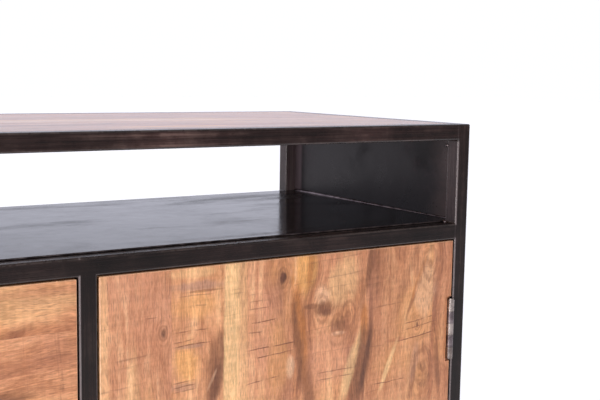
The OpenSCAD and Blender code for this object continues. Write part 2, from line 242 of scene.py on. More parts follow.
def brushed_lacquer(name, axis):
    """Black-brown lacquer over square tube that was brushed along its length. It is palest on
    the top rails, and painted light makes it paler on the inward faces of the rear tubes and the
    posts."""
    g = Graph(name)
    place = g.xyz()
    # the colour runs from darker below the mid rails to paler at the top rails, and varies in
    # random smudges
    smudge = g.rescale(g.noise(g.position(), 6, 2), 0.42, 0.66, 0.8, 1.9)
    paling = g.times(smudge, g.rescale(place[Z], MID_RAIL_TOP, UNDER_TOP_RAIL, 0.65, 1.7))
    off_centre = g.absolute(place[X])
    # painted light: the rear tubes' front faces and the posts' inner faces are painted in a pale
    # tone
    painted_light = 0.0
    for along, at, share in ((place[Y], REAR_LO.y, 0.85), (off_centre, POST_LO.x, 0.2)):
        away = g.absolute(g.minus(along, at))
        painted_light = g.math("MAXIMUM", painted_light, g.rescale(away, 0.8 * MM, 0.2 * MM, 0.0, share))
    fine = g.noise(stretched(g, 1300, 14, axis), detail=4)
    streak = g.noise(stretched(g, 260, 5, axis), detail=3)
    cloud = g.noise(g.position(), 30, 4, 0.6)
    tone = g.ramp(g.add(g.times(streak, 0.5), g.times(cloud, 0.5)),
                  *zip((0.36, 0.5, 0.66), TUBE_TONES))
    tone = g.mix(painted_light, g.shade(tone, paling), PAINTED_LIGHT_FACE)
    g.set(Base_Color=g.shade(tone, g.rescale(fine, 0.3, 0.75, 0.75, 1.35)),
          Roughness=g.rescale(g.add(g.times(fine, 0.6), g.times(cloud, 0.4)), 0.3, 0.7, 0.2, 0.38),
          Specular_IOR_Level=0.26, Specular_Tint=(1.0, 0.93, 0.9, 1))
    g.bump(g.add(g.times(fine, 0.5), g.times(streak, 0.8)), 0.1 * MM)
    return g.material


def rubbed_lacquer(name):
    """The same lacquer on corners, where it is rubbed. Below the top rails a pale highlight is
    painted on the front edges of the rear tubes and on the inward edges of the posts and the
    dividers."""
    g = Graph(name)
    place = g.xyz()
    off_centre = g.absolute(place[X])
    # painted highlight: a narrow pale line along these edges, below the top rails
    away = g.absolute(g.minus(place[Y], REAR_LO.y + EDGE_RADIUS / 2))
    for low in (POST_LO, DIVIDER_LO):
        away = g.math("MINIMUM", away,
                      g.absolute(g.minus(off_centre, low.x + EDGE_RADIUS / 2)))
    painted_edge_highlight = g.times(g.rescale(away, 1.1 * MM, 0.7 * MM),
                   g.rescale(place[Z], UNDER_TOP_RAIL - MM, UNDER_TOP_RAIL - 3 * MM))
    scuff = g.noise(g.position(), 90, 3)
    cloud = g.noise(g.position(), 18, 3)
    paling = g.rescale(g.add(g.times(scuff, 0.3), g.times(cloud, 0.7)), 0.4, 0.66)
    tone = g.mix(paling, CORNER_WHOLE, CORNER_RUBBED)
    g.set(Base_Color=g.mix(painted_edge_highlight, tone, PAINTED_EDGE_HIGHLIGHT),
          Metallic=g.times(paling, 0.3), Roughness=g.rescale(scuff, 0.3, 0.7, 0.22, 0.34),
          Specular_IOR_Level=0.5)
    g.bump(scuff, 0.04 * MM)
    return g.material


def lacquered_sheet(name, tint, shine, level, mirror):
    """Dark sheet steel under clear lacquer, with the mottle of unpainted mill scale. tint is
    its palest tone, shine the colour of its reflection, level the specular level and mirror
    the lowest and highest roughness. Inside the side sheets, beside the posts, painted light makes
    them paler."""
    g = Graph(name)
    cloud = g.noise(g.position(), 9, 5, 0.62, 0.5)
    speck = g.noise(g.position(), 95, 4, 0.6)
    smear = g.noise(stretched(g, 16, 3.5, X), detail=3, rough=0.5, bend=0.3)
    mottle = g.add(g.times(cloud, 0.65), g.times(speck, 0.35))
    tone = g.ramp(mottle, (0.36, SCALE_DARK), (0.5, SCALE_MIDDLE), (0.66, tint))
    place = g.xyz()
    off_centre = g.absolute(place[X])
    # painted light: inside the side sheets, paler tones are painted in a ragged band by the front
    # posts and by the rear posts
    inner_skin = g.times(g.rescale(off_centre, SIDE_LO.x - MM, SIDE_LO.x, 0.0, 0.9),
                         g.rescale(off_centre, SIDE_HI.x - 0.2 * MM, SIDE_HI.x - 0.6 * MM))
    ragged = g.times_add(cloud, 80 * MM, place[Y])
    front = g.rescale(ragged, POST_HI.y + 100 * MM, POST_HI.y + 30 * MM)
    rear = g.rescale(place[Y], REAR_LO.y - 22 * MM, REAR_LO.y - 14 * MM)
    tone = g.mix(g.times(inner_skin, front), tone, FRONT_PAINTED_LIGHT)
    tone = g.mix(g.times(inner_skin, rear), tone, REAR_PAINTED_LIGHT)
    wiped = g.times_add(g.rescale(smear, 0.5, 0.72), 0.16,
                        g.rescale(mottle, 0.35, 0.7, *mirror))
    g.set(Base_Color=tone, Specular_Tint=shine, Roughness=wiped, Specular_IOR_Level=level)
    g.bump(g.add(g.noise(g.position(), 13, 2), g.times(smear, 0.12)), 0.5 * MM)
    return g.material


def steel(name, light, dark, roughness=(0.25, 0.5)):
    """Bare or darkened steel, scuffed."""
    g = Graph(name)
    scuff = g.noise(g.position(), 420, 4, 0.65)
    cloud = g.noise(g.position(), 70, 3)
    value = g.add(g.times(scuff, 0.3), g.times(cloud, 0.7))
    g.set(Base_Color=g.ramp(value, (0.36, dark), (0.64, light)), Metallic=1.0,
          Roughness=g.rescale(value, 0.3, 0.7, *roughness))
    g.bump(scuff, 0.02 * MM)
    return g.material


def moulded(name, colour):
    """Matt moulded plastic."""
    g = Graph(name)
    grain = g.noise(g.position(), 1600, 3)
    cloud = g.noise(g.position(), 60, 3)
    g.set(Base_Color=g.shade(colour, g.rescale(cloud, 0.3, 0.7, 0.8, 1.3)),
          Roughness=g.rescale(grain, 0.3, 0.7, 0.45, 0.65))
    g.bump(grain, 0.06 * MM)
    return g.material


def plain_board(name, axis, dark, light, gloss):
    """A board with straight quiet grain along one axis."""
    g = Graph(name)
    grain = g.noise(stretched(g, 70, 3, axis), detail=6, rough=0.6, bend=0.3)
    fibre = g.noise(stretched(g, 1100, 30, axis), detail=2)
    tone = g.ramp(grain, (0.36, dark), (0.62, light))
    g.set(Base_Color=g.shade(tone, g.rescale(fibre, 0.3, 0.7, 0.86, 1.12)),
          Roughness=g.rescale(grain, 0.3, 0.7, gloss, gloss + 0.15))
    g.bump(g.add(g.times(fibre, 0.6), grain), 0.15 * MM)
    return g.material


# ---------- mango wood ----------

PALE, CREAM, YELLOW = linear(236, 190, 154), linear(243, 196, 142), linear(228, 166, 98)
PINK, RED, GREY = linear(206, 144, 116), linear(170, 104, 72), linear(174, 130, 110)
BROWN, DARK, ORANGE = linear(140, 88, 58), linear(100, 58, 40), linear(196, 122, 62)
WOOD_RAMP = ((0.39, linear(146, 92, 62)), (0.455, linear(188, 128, 91)),
             (0.525, linear(213, 153, 113)), (0.61, linear(238, 186, 142)))
SAW_MARK = linear(130, 82, 58)


def ellipse(g, u, v, at_u, at_v, radius_u, radius_v, tilt, fray):
    """A ragged mask: 1 inside the ellipse and 0 outside. tilt is the shift of u per v."""
    dv = g.minus(v, at_v * MM)
    du = g.minus(u, at_u * MM)
    du = g.times_add(dv, -tilt, du)
    du = g.times(du, 1 / (radius_u * MM))
    dv = g.times(dv, 1 / (radius_v * MM))
    square = g.times_add(du, du, g.times(dv, dv))
    return g.rescale(g.add(fray, g.math("SQRT", square)), 1.35, 0.55)


def saw_line(g, u, v, wobble, start, end, at_v, rise, strength):
    """One dark saw mark across the grain, from start to end, rising to the right."""
    level = g.times_add(g.minus(u, start * MM), rise, g.minus(v, at_v * MM))
    level = g.absolute(g.times_add(wobble, 4 * MM, level))
    middle, half = (start + end) / 2 * MM, (end - start) / 2 * MM
    reach = g.absolute(g.minus(u, middle))
    inside = g.rescale(reach, half * 1.1, half * 0.6)
    return g.times(g.rescale(level, 1.1 * MM, 0.1 * MM, 0.0, strength), inside)


def mango(name, across, along, corner, flip=1, patches=(), knots=(), lines=(), coat=0.12):
    """Lacquered mango planks. u runs across the grain and v along it, in metres from corner.
    patches are (u, v, radius_u, radius_v, tilt, colour, share), knots (u, v, radius, core) and
    lines (start_u, end_u, v, rise, strength), all in millimetres."""
    g = Graph(name)
    place = g.xyz()
    u = g.times(g.minus(place[across], corner[across]), flip)
    v = g.minus(corner[along], place[along])
    depth = place[3 - across - along]
    seed = g.attribute("plank_seed").outputs["Fac"]
    tone = g.attribute("plank_tone").outputs["Color"]

    def field(scale_u, scale_v, detail=3, rough=0.5, bend=0.0, at_u=u, offset=0):
        """Noise of so many waves per metre across and along. offset keeps the fields apart."""
        spot = g.join(g.times(at_u, scale_u), g.times_add(depth, scale_u, seed),
                      g.times_add(v, scale_v, offset))
        return g.noise(spot, 1.0, detail, rough, bend)

    # the grain lines sway, and bend round the knots
    sway = g.minus(field(7, 3.5), 0.5)
    grain_u = g.times_add(sway, 30 * MM, u)
    curl = g.minus(field(24, 14, 2, offset=13), 0.5)
    grain_u = g.times_add(curl, 9 * MM, grain_u)
    knot_marks = []
    for at_u, at_v, radius, core in knots:
        du = g.times(g.minus(u, at_u * MM), 1 / (radius * MM))
        dv = g.times(g.minus(v, at_v * MM), 0.6 / (radius * MM))
        square = g.times_add(du, du, g.times(dv, dv))
        pull = g.math("EXPONENT", g.times(square, -0.22))
        grain_u = g.times_add(g.times(du, pull), -0.82 * radius * MM, grain_u)
        knot_marks.append((g.math("SQRT", square), core))

    # light and dark streaks and clouds
    broad = field(15, 1.7, 3, 0.5, 0.6, grain_u, 5.0)
    streak = field(80, 3.2, 7, 0.68, 0.4, grain_u)
    flame = field(30, 10, 6, 0.62, 1.1, grain_u, 17.0)
    value = g.add(g.times(streak, 0.42), g.add(g.times(broad, 0.26), g.times(flame, 0.32)))
    colour = g.mix(1.0, g.ramp(value, *WOOD_RAMP), tone, "MULTIPLY")
    blush = field(9, 6, 4, 0.55, 0.3, offset=11)
    colour = g.mix(g.rescale(blush, 0.48, 0.66, 0, 0.4), colour, PINK)
    colour = g.mix(g.rescale(blush, 0.48, 0.34, 0, 0.3), colour, YELLOW)

    # the larger marks of the wood
    rough = g.minus(field(45, 18, 5, 0.65, 0.6, offset=3), 0.5)
    fray = g.times_add(rough, 1.5, g.minus(streak, 0.5))
    for at_u, at_v, radius_u, radius_v, tilt, paint, share in patches:
        mask = ellipse(g, u, v, at_u, at_v, radius_u, radius_v, tilt, fray)
        grained = g.shade(paint, g.rescale(value, 0.4, 0.6, 0.8, 1.14))
        colour = g.mix(g.times(mask, share), colour, grained)
    for mark, core in knot_marks:
        ring = g.math("SINE", g.times_add(mark, 7.5, g.times(rough, 9)))
        near = g.rescale(mark, 2.7, 0.9)
        colour = g.mix(g.times(near, g.rescale(ring, -0.3, 1, 0, 0.42)), colour, BROWN)
        heart = g.rescale(g.times_add(rough, 2.2, mark), 1.0, 0.3)
        colour = g.mix(g.times(heart, core), colour, DARK)

    # saw marks across the grain: those that are placed, and loose clusters of others
    wobble = g.minus(field(30, 30, 3, 0.6, offset=7), 0.5)
    level = g.times_add(u, 0.08, v)
    comb = g.noise(g.join(g.times(seed, 3), g.times_add(wobble, 0.9, g.times(level, 240)), 0.0),
                   1.0, 1)
    cluster = g.rescale(field(12, 11, 2, offset=21), 0.5, 0.62)
    broken = g.rescale(field(80, 200, 3, 0.6, offset=31), 0.34, 0.54)
    saw = g.times(g.times(g.rescale(comb, 0.56, 0.74), cluster), g.times(broken, 0.4))
    for line in lines:
        saw = g.math("MAXIMUM", saw, g.times(saw_line(g, u, v, wobble, *line), broken))
    colour = g.mix(saw, colour, SAW_MARK)

    # a painted highlight on the eased edges, then the fibre, pores, flecks and the faint ripple of
    # the plane
    colour = g.mix(g.times(g.attribute("plank_painted_highlight").outputs["Fac"], 0.6), colour, PALE)
    fibre = field(1500, 34, 3, 0.6, at_u=grain_u)
    pores = g.rescale(field(760, 90, 2, at_u=grain_u, offset=41), 0.58, 0.7)
    fleck = g.ramp(field(560, 130, 3, 0.6, at_u=grain_u, offset=61),
                   (0.36, (0.89, 0.85, 0.8, 1)), (0.62, (1.08, 1.08, 1.08, 1)))
    ripple = field(22, 230, 2, offset=51)
    colour = g.shade(colour, g.rescale(fibre, 0.3, 0.7, 0.87, 1.1))
    colour = g.mix(1.0, colour, fleck, "MULTIPLY")
    colour = g.shade(colour, g.rescale(ripple, 0.3, 0.7, 0.94, 1.05))
    colour = g.shade(colour, g.times_add(pores, -0.28, 1.0))
    g.set(Base_Color=colour, Specular_IOR_Level=0.4, Coat_Weight=coat, Coat_Roughness=0.16,
          Roughness=g.rescale(g.add(g.times(fibre, 0.5), g.times(streak, 0.5)), 0.35, 0.65,
                              0.36, 0.52))
    relief = g.times_add(saw, -1.2, g.times_add(pores, -0.35, g.times(fibre, 0.3)))
    g.bump(relief, 0.22 * MM)
    return g.material


# ---------- mesh helpers ----------

def solid(name, bm, materials, body, stands_for=(), sharp=35):
    """Turns a bmesh into a piece that rides on a body and may stand for CAD nodes."""
    bmesh.ops.remove_doubles(bm, verts=bm.verts, dist=MERGE)
    bmesh.ops.recalc_face_normals(bm, faces=bm.faces)
    mesh = bpy.data.meshes.new(name)
    bm.to_mesh(mesh)
    bm.free()
    for material in materials if isinstance(materials, (list, tuple)) else [materials]:
        mesh.materials.append(material)
    mesh.polygons.foreach_set("use_smooth", [True] * len(mesh.polygons))
    mesh.set_sharp_from_angle(angle=math.radians(sharp))
    piece = bpy.data.objects.new(name, mesh)
    bpy.context.scene.collection.objects.link(piece)
    weigh(piece)
    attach(piece, body)
    if stands_for:
        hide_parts(*stands_for)
    return piece


def longest(size):
    """The axis along which a size is largest."""
    return max(range(3), key=lambda i: size[i])


def weigh(piece):
    """Flat faces keep their own normal, so that rounded edges catch the light cleanly."""
    modifier = piece.modifiers.new("normals", "WEIGHTED_NORMAL")
    modifier.keep_sharp = True


def add_lattice(bm, boxes, holes=(), slots=None):
    """Adds the skin of a union of boxes less some holes. slots are the boxes' material slots.
    The planes of all the boxes' faces, to the micrometre, cut space into cells."""
    every = list(boxes) + list(holes)
    cuts = [sorted({round(corner[i], 6) for box in every for corner in box}) for i in range(3)]

    def middle_inside(middle, box):
        return all(box[0][i] < middle[i] < box[1][i] for i in range(3))

    filled = {}
    for cell in itertools.product(*[range(len(c) - 1) for c in cuts]):
        middle = [(cuts[i][cell[i]] + cuts[i][cell[i] + 1]) / 2 for i in range(3)]
        owner = next((k for k, box in enumerate(boxes) if middle_inside(middle, box)), None)
        if owner is not None and not any(middle_inside(middle, hole) for hole in holes):
            filled[cell] = owner
    corners = {}
    for cell, owner in filled.items():
        for axis, step in itertools.product(range(3), (-1, 1)):
            if tuple(c + step * (i == axis) for i, c in enumerate(cell)) in filled:
                continue
            a, b = [i for i in range(3) if i != axis]
            ring = []
            for da, db in ((0, 0), (1, 0), (1, 1), (0, 1)):
                key = [0, 0, 0]
                key[axis] = cell[axis] + (step > 0)
                key[a], key[b] = cell[a] + da, cell[b] + db
                key = tuple(key)
                if key not in corners:
                    corners[key] = bm.verts.new([cuts[i][key[i]] for i in range(3)])
                ring.append(corners[key])
            bm.faces.new(ring).material_index = slots[owner] if slots else 0


def round_edges(bm, edges, radius, segments, slot=-1):
    bmesh.ops.recalc_face_normals(bm, faces=bm.faces)
    bmesh.ops.bevel(bm, geom=list(edges), offset=radius, segments=segments, profile=0.5,
                    affect="EDGES", clamp_overlap=True, material=slot)


def corner_edges(bm):
    """The edges where two faces meet at more than half a radian."""
    bmesh.ops.recalc_face_normals(bm, faces=bm.faces)
    return [e for e in bm.edges if len(e.link_faces) == 2 and e.calc_face_angle() > 0.5]


def close_rings(bm, rings):
    """Joins rings of points into a closed rod."""
    sides = len(rings[0])
    for lower, upper in zip(rings, rings[1:]):
        for i in range(sides):
            j = (i + 1) % sides
            bm.faces.new((lower[i], lower[j], upper[j], upper[i]))
    bm.faces.new(rings[0][::-1])
    bm.faces.new(rings[-1])


def add_lathe(bm, base, axis, profile, sides=24):
    """Adds a closed turned shape. profile is (radius, height) from one end to the other; a
    third value draws the ring in as a cross, for the recess of a screw."""
    axis = Vector(axis).normalized()
    side = axis.orthogonal().normalized()
    other = axis.cross(side)
    rings = []
    for radius, height, *cross in profile:
        ring = []
        for i in range(sides):
            angle = 2 * math.pi * i / sides
            out = side * math.cos(angle) + other * math.sin(angle)
            arm = not cross or i % (sides // 4) in (0, 1, sides // 4 - 1)
            reach = radius if arm else radius * cross[0]
            ring.append(bm.verts.new(Vector(base) + axis * height + out * reach))
        rings.append(ring)
    close_rings(bm, rings)


def add_bead(bm, start, end, radius_start, radius_end, pitch=3 * MM, sides=8):
    """Adds a weld bead: a rough round rod that rises and falls along its length."""
    start, end = Vector(start), Vector(end)
    axis = (end - start).normalized()
    side = axis.orthogonal().normalized()
    other = axis.cross(side)
    count = max(2, round((end - start).length / pitch))
    rings = []
    for k in range(count + 1):
        centre = start.lerp(end, k / count)
        radius = radius_start + (radius_end - radius_start) * k / count
        radius *= 1 + 0.35 * noise.noise(centre * 240)
        radius *= 0.5 if k in (0, count) else 1
        rings.append([bm.verts.new(centre + (side * math.cos(t) + other * math.sin(t)) * radius)
                      for t in (2 * math.pi * i / sides for i in range(sides))])
    close_rings(bm, rings)


def pieces_of(node):
    """The separate solids of a CAD node, as lists of their points."""
    bm = bmesh.new()
    bm.from_mesh(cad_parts[node].data)
    bmesh.ops.remove_doubles(bm, verts=bm.verts, dist=MERGE)
    left = set(bm.verts)
    found = []
    while left:
        queue = [left.pop()]
        points = []
        while queue:
            vertex = queue.pop()
            points.append(vertex.co.copy())
            for edge in vertex.link_edges:
                near = edge.other_vert(vertex)
                if near in left:
                    left.remove(near)
                    queue.append(near)
        found.append(points)
    bm.free()
    return sorted(found, key=lambda points: tuple(min(points, key=tuple)))


def span(points):
    """The lowest and highest corner of some points."""
    low = Vector([min(p[i] for p in points) for i in range(3)])
    return low, Vector([max(p[i] for p in points) for i in range(3)])


# ---------- the welded frame ----------

CORNER_SLOT = 3         # the rounded corners' material, after one for each direction
TACK = 2.4 * MM
TACK_DROP = 8 * MM      # the upper tacks hang this far below the top rails
FOOT_BEAD = (3 * MM, 1 * MM)    # radius at the rear and at the front
BEAD_INSET = 0.5 * MM
BEAD_ROUGHNESS = 0.3 * MM


def welded_frame():
    """All the tubes as one welded skin: joints ground flush, with a small fillet inside."""
    boxes = [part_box(name) for name in TUBE_NODES]
    bm = bmesh.new()
    add_lattice(bm, boxes, slots=[longest(high - low) for low, high in boxes])
    round_edges(bm, corner_edges(bm), EDGE_RADIUS, 4, CORNER_SLOT)
    materials = [brushed_lacquer("frame_lacquer_" + "xyz"[axis], axis) for axis in range(3)]
    materials.append(rubbed_lacquer("rubbed_corners"))
    solid("welded_frame", bm, materials, "carcass", TUBE_NODES, 50)


def welds(material):
    """Tack welds in the inner corners of the open compartment, and a bead along each end of
    the shelf."""
    bm = bmesh.new()
    for sign in SIDES.values():
        inner = sign * POST_LO.x
        levels = (MID_RAIL_TOP, UNDER_TOP_RAIL - TACK_DROP)
        for y, z in itertools.product((POST_HI.y, REAR_LO.y), levels):
            bmesh.ops.create_uvsphere(bm, u_segments=10, v_segments=8, radius=TACK,
                                      matrix=Matrix.Translation((inner, y, z)))
        foot = sign * (SHELF_HI.x - BEAD_INSET)
        add_bead(bm, (foot, REAR_LO.y, SHELF_HI.z), (foot, POST_HI.y, SHELF_HI.z), *FOOT_BEAD)
    for vertex in bm.verts:
        vertex.co += noise.noise_vector(vertex.co * 300) * BEAD_ROUGHNESS
    solid("weld_beads", bm, material, "carcass", sharp=60)


# ---------- sheet steel ----------

def add_wavy_plate(bm, low, high, flat_axis, pitch=20 * MM, depth=0.12 * MM):
    """A thin plate whose broad faces are a little uneven, as welded sheet is."""
    a, b = [i for i in range(3) if i != flat_axis]
    count_a = max(1, round((high[a] - low[a]) / pitch))
    count_b = max(1, round((high[b] - low[b]) / pitch))
    row = count_b + 1
    skins = []
    for level, inward in ((low[flat_axis], 1), (high[flat_axis], -1)):
        grid = []
        for i, j in itertools.product(range(count_a + 1), range(row)):
            point = [0, 0, 0]
            point[a] = low[a] + (high[a] - low[a]) * i / count_a
            point[b] = low[b] + (high[b] - low[b]) * j / count_b
            point[flat_axis] = level
            if 0 < i < count_a and 0 < j < count_b:
                point[flat_axis] += inward * depth * (0.5 + 0.5 * noise.noise(Vector(point) * 7))
            grid.append(bm.verts.new(point))
        for i, j in itertools.product(range(count_a), range(count_b)):
            k = i * row + j
            bm.faces.new((grid[k], grid[k + 1], grid[k + row + 1], grid[k + row]))
        skins.append(grid)
    rim = [i * row for i in range(count_a)] + [count_a * row + j for j in range(count_b)]
    rim += [i * row + count_b for i in range(count_a, 0, -1)] + list(range(count_b, 0, -1))
    lower, upper = skins
    for k, m in zip(rim, rim[1:] + rim[:1]):
        bm.faces.new((lower[k], lower[m], upper[m], upper[k]))


def sheets(cut_edge):
    """The folded shelf, with its cut front edge, and the sides."""
    shelf = lacquered_sheet("shelf_lacquer", linear(24, 20, 19), (0.86, 0.87, 0.95, 1), 0.16,
                            (0.1, 0.2))
    side = lacquered_sheet("side_lacquer", linear(42, 33, 36), (1.0, 0.88, 0.92, 1), 0.28,
                           (0.26, 0.4))
    under = SHELF_HI.z - SHEET
    bm = bmesh.new()
    add_wavy_plate(bm, Vector((SHELF_LO.x, SHELF_LO.y, under)), SHELF_HI, Z)
    for face in bm.faces:
        face.material_index = int(all(v.co.y < SHELF_LO.y + ON_FACE for v in face.verts))
    for y in (SHELF_LO.y, SHELF_HI.y - SHEET):
        add_lattice(bm, [(Vector((SHELF_LO.x, y, SHELF_LO.z)),
                          Vector((SHELF_HI.x, y + SHEET, under)))])
    solid("display_shelf_sheet", bm, [shelf, cut_edge], "carcass",
          ["display_shelf"])
    for name in SIDES:
        bm = bmesh.new()
        add_wavy_plate(bm, *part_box(name + "_side_panel"), X)
        solid(name + "_side_sheet", bm, side, "carcass", [name + "_side_panel"])


# ---------- planks ----------

GLUE_LINE = 0.1 * MM
PANEL_EASE = 1.3 * MM


def planks(name, node, across, shares, tones, material, body, seed, holes=()):
    """Glued-up planks in a CAD node's box, with the panel's outer edges eased. Each plank
    carries its own tone and seed as attributes, and a third attribute marks the eased edges, where
    a pale highlight is painted."""
    low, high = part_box(node)
    width = (high - low)[across] / sum(shares)
    starts = [low[across] + width * sum(shares[:i]) for i in range(len(shares))]
    bm = bmesh.new()
    for start, share in zip(starts, shares):
        a, b = Vector(low), Vector(high)
        a[across], b[across] = start, start + share * width
        if start > low[across]:
            a[across] += GLUE_LINE
        add_lattice(bm, [(a, b)], holes)

    def on_rim(edge):
        middle = (edge.verts[0].co + edge.verts[1].co) / 2
        gaps = [min(middle[i] - low[i], high[i] - middle[i]) for i in range(3)]
        return sum(gap < ON_FACE for gap in gaps) > 1

    round_edges(bm, [e for e in corner_edges(bm) if on_rim(e)], PANEL_EASE, 3)
    seed_layer = bm.verts.layers.float.new("plank_seed")
    highlight_layer = bm.verts.layers.float.new("plank_painted_highlight")
    tone_layer = bm.verts.layers.float_vector.new("plank_tone")
    draw = random.Random(seed)
    seeds = [draw.uniform(0, 60) for _ in shares]
    for vertex in bm.verts:
        k = max(bisect.bisect(starts, vertex.co[across] - MERGE) - 1, 0)
        vertex[seed_layer] = seeds[k]
        vertex[tone_layer] = Vector(tones[k])
        gaps = [min(vertex.co[i] - low[i], high[i] - vertex.co[i]) for i in range(3)]
        eased = sum(gap < PANEL_EASE * 0.9 for gap in gaps) > 1
        # painted highlight: the eased edges are marked for a pale painted line
        vertex[highlight_layer] = float(eased and sum(gap < ON_FACE for gap in gaps) < 2)
    return solid(name, bm, material, body, [node], 30)


# The figure of the doors, drawers and top, in the form that mango() takes. Shares are the
# planks' widths against each other, and tones multiply their colour.
DOOR_SHARES = (82, 65, 93, 105, 107, 32.4)
DOOR_TONES = ((0.95, 0.92, 0.92), (1.04, 1.02, 0.95), (1.0, 0.97, 0.96), (1.03, 0.99, 0.94),
              (0.97, 0.93, 0.88), (0.95, 0.89, 0.85))
RIGHT_PATCHES = (
    (50, 60, 16, 90, 0, RED, 0.3), (4, 120, 6, 160, 0, CREAM, 0.35),
    (36, 150, 10, 60, 0, CREAM, 0.35), (22, 80, 9, 60, 0, RED, 0.25),
    (66, 96, 12, 40, 0, RED, 0.3), (112, 6, 34, 6, 0, CREAM, 0.5),
    (116, 21, 34, 6, 0, GREY, 0.7), (122, 27, 26, 1.4, 0, BROWN, 0.7),
    (112, 42, 28, 14, 0, YELLOW, 0.45), (98, 106, 15, 24, 0.1, YELLOW, 0.7),
    (103, 87, 17, 2.5, 0, GREY, 0.6), (97, 131, 14, 5, 0, GREY, 0.5),
    (137, 118, 11, 46, -0.16, BROWN, 0.8), (140, 128, 9, 30, -0.2, DARK, 0.65),
    (144, 92, 4, 22, 0.1, DARK, 0.5), (132, 128, 2, 12, -0.5, PALE, 0.3),
    (156, 150, 11, 320, 0, CREAM, 0.95), (170, 150, 8, 300, 0, CREAM, 0.45),
    (236, 129, 6, 14, 0, PALE, 0.7), (205, 70, 22, 60, 0, PINK, 0.4),
    (218, 120, 14, 40, 0, YELLOW, 0.35),
    (254, 16, 15, 30, -0.1, YELLOW, 0.85), (262, 12, 4, 26, -0.1, ORANGE, 0.6),
    (249, 92, 9, 66, 0.13, ORANGE, 0.8), (245, 104, 5, 56, 0.13, BROWN, 0.75),
    (262, 165, 8, 50, 0.16, BROWN, 0.6), (290, 14, 3, 26, -0.35, RED, 0.4),
    (310, 36, 24, 32, -0.2, CREAM, 0.55), (280, 50, 10, 14, 0, PALE, 0.5),
    (282, 66, 14, 10, 0, BROWN, 0.8), (264, 61, 11, 3, 0, BROWN, 0.7),
    (286, 70, 7, 5, 0, DARK, 0.55), (303, 88, 11, 10, 0, BROWN, 0.6),
    (303, 98, 10, 2.6, 0, PALE, 0.6), (316, 90, 4, 12, 0.2, RED, 0.4),
    (322, 146, 8, 50, -0.35, CREAM, 0.85), (290, 125, 30, 34, 0, PINK, 0.35),
    (348, 24, 4, 30, -0.15, BROWN, 0.75), (343, 90, 6, 24, 0, ORANGE, 0.8),
    (340, 142, 12, 58, -0.16, BROWN, 0.8), (345, 140, 4, 46, -0.2, DARK, 0.7),
    (338, 60, 4, 16, 0, BROWN, 0.4),
    (372, 30, 20, 40, 0, BROWN, 0.3), (404, 50, 8, 46, -0.4, BROWN, 0.35),
    (424, 56, 3.4, 44, -0.42, BROWN, 0.75), (428, 44, 4, 24, -0.42, ORANGE, 0.8),
    (440, 58, 16, 36, -0.1, PALE, 0.45), (392, 118, 16, 2.5, 0, RED, 0.5),
    (380, 152, 3.6, 28, -0.42, CREAM, 0.9), (440, 160, 26, 28, 0, BROWN, 0.12),
    (462, 160, 4, 34, 0.1, BROWN, 0.6), (420, 178, 4, 22, -0.2, BROWN, 0.5),
    (424, 148, 6, 24, -0.2, GREY, 0.4), (452, 150, 4, 60, 0, RED, 0.5),
    (478, 170, 7, 220, 0, RED, 0.35), (460, 60, 5, 120, 0, RED, 0.25),
    (60, 300, 24, 90, 0.1, RED, 0.35), (128, 330, 14, 80, 0.15, BROWN, 0.55),
    (205, 300, 20, 90, -0.1, YELLOW, 0.45), (300, 330, 30, 70, 0.1, PINK, 0.4),
    (342, 300, 7, 110, 0.05, DARK, 0.6), (410, 330, 26, 70, -0.2, CREAM, 0.55),
    (120, 470, 20, 50, 0, CREAM, 0.6), (270, 460, 24, 50, 0.2, BROWN, 0.4),
)
RIGHT_KNOTS = (
    (224, 23, 6.5, 0.95), (72, 68, 4.5, 0.6), (280, 66, 9, 0.4), (303, 88, 8, 0.3),
    (427, 103, 4.2, 0.7), (446, 26, 11, 0.1), (438, 158, 13, 0.0), (318, 76, 9, 0.0),
    (110, 250, 6, 0.7), (265, 390, 7, 0.8), (400, 255, 5, 0.6), (190, 455, 5, 0.8),
)
RIGHT_LINES = (
    (90, 134, 31, 0, 0.5), (98, 126, 43, 0, 0.6), (84, 128, 70, 0, 0.8), (84, 110, 81, 0.05, 0.8),
    (84, 132, 86, 0.04, 0.9), (83, 112, 126, 0.05, 0.7), (83, 112, 131, 0.05, 0.8),
    (83, 112, 136, 0.05, 0.6), (178, 206, 38, 0, 0.4), (178, 206, 46, 0, 0.5),
    (178, 206, 55, 0.04, 0.6), (178, 216, 71, 0.05, 0.9), (176, 200, 82, 0.02, 0.6),
    (174, 256, 102, 0.03, 1.0), (174, 240, 113, 0.06, 0.9), (174, 222, 141, 0.06, 0.8),
    (268, 330, 143, 0, 0.6), (270, 330, 152, 0.02, 0.6), (262, 330, 118, 0.0, 0.3),
    (402, 462, 100, 0.12, 0.8), (400, 462, 108, 0.12, 0.7), (394, 462, 121, 0.1, 1.0),
    (356, 412, 170, 0.02, 0.9), (50, 66, 50, 0, 0.6), (350, 372, 122, 0.0, 0.4),
)
LEFT_PATCHES = (
    (40, 160, 22, 110, 0.05, RED, 0.35), (110, 90, 20, 80, -0.1, YELLOW, 0.4),
    (140, 240, 9, 120, 0.1, BROWN, 0.65), (170, 260, 14, 300, 0, CREAM, 0.6),
    (240, 120, 8, 120, -0.08, DARK, 0.6), (300, 90, 26, 60, 0.2, CREAM, 0.6),
    (300, 380, 30, 90, 0.1, PINK, 0.45), (346, 330, 6, 130, 0.06, DARK, 0.65),
    (400, 150, 22, 90, -0.25, BROWN, 0.35), (420, 420, 24, 70, 0.2, YELLOW, 0.4),
    (470, 260, 10, 260, 0, RED, 0.35), (60, 430, 20, 60, 0.2, CREAM, 0.4),
)
LEFT_KNOTS = ((60, 120, 5, 0.8), (215, 60, 5, 0.7), (280, 250, 8, 0.8), (120, 380, 6, 0.4),
              (410, 300, 16, 0.0), (310, 470, 6, 0.7))
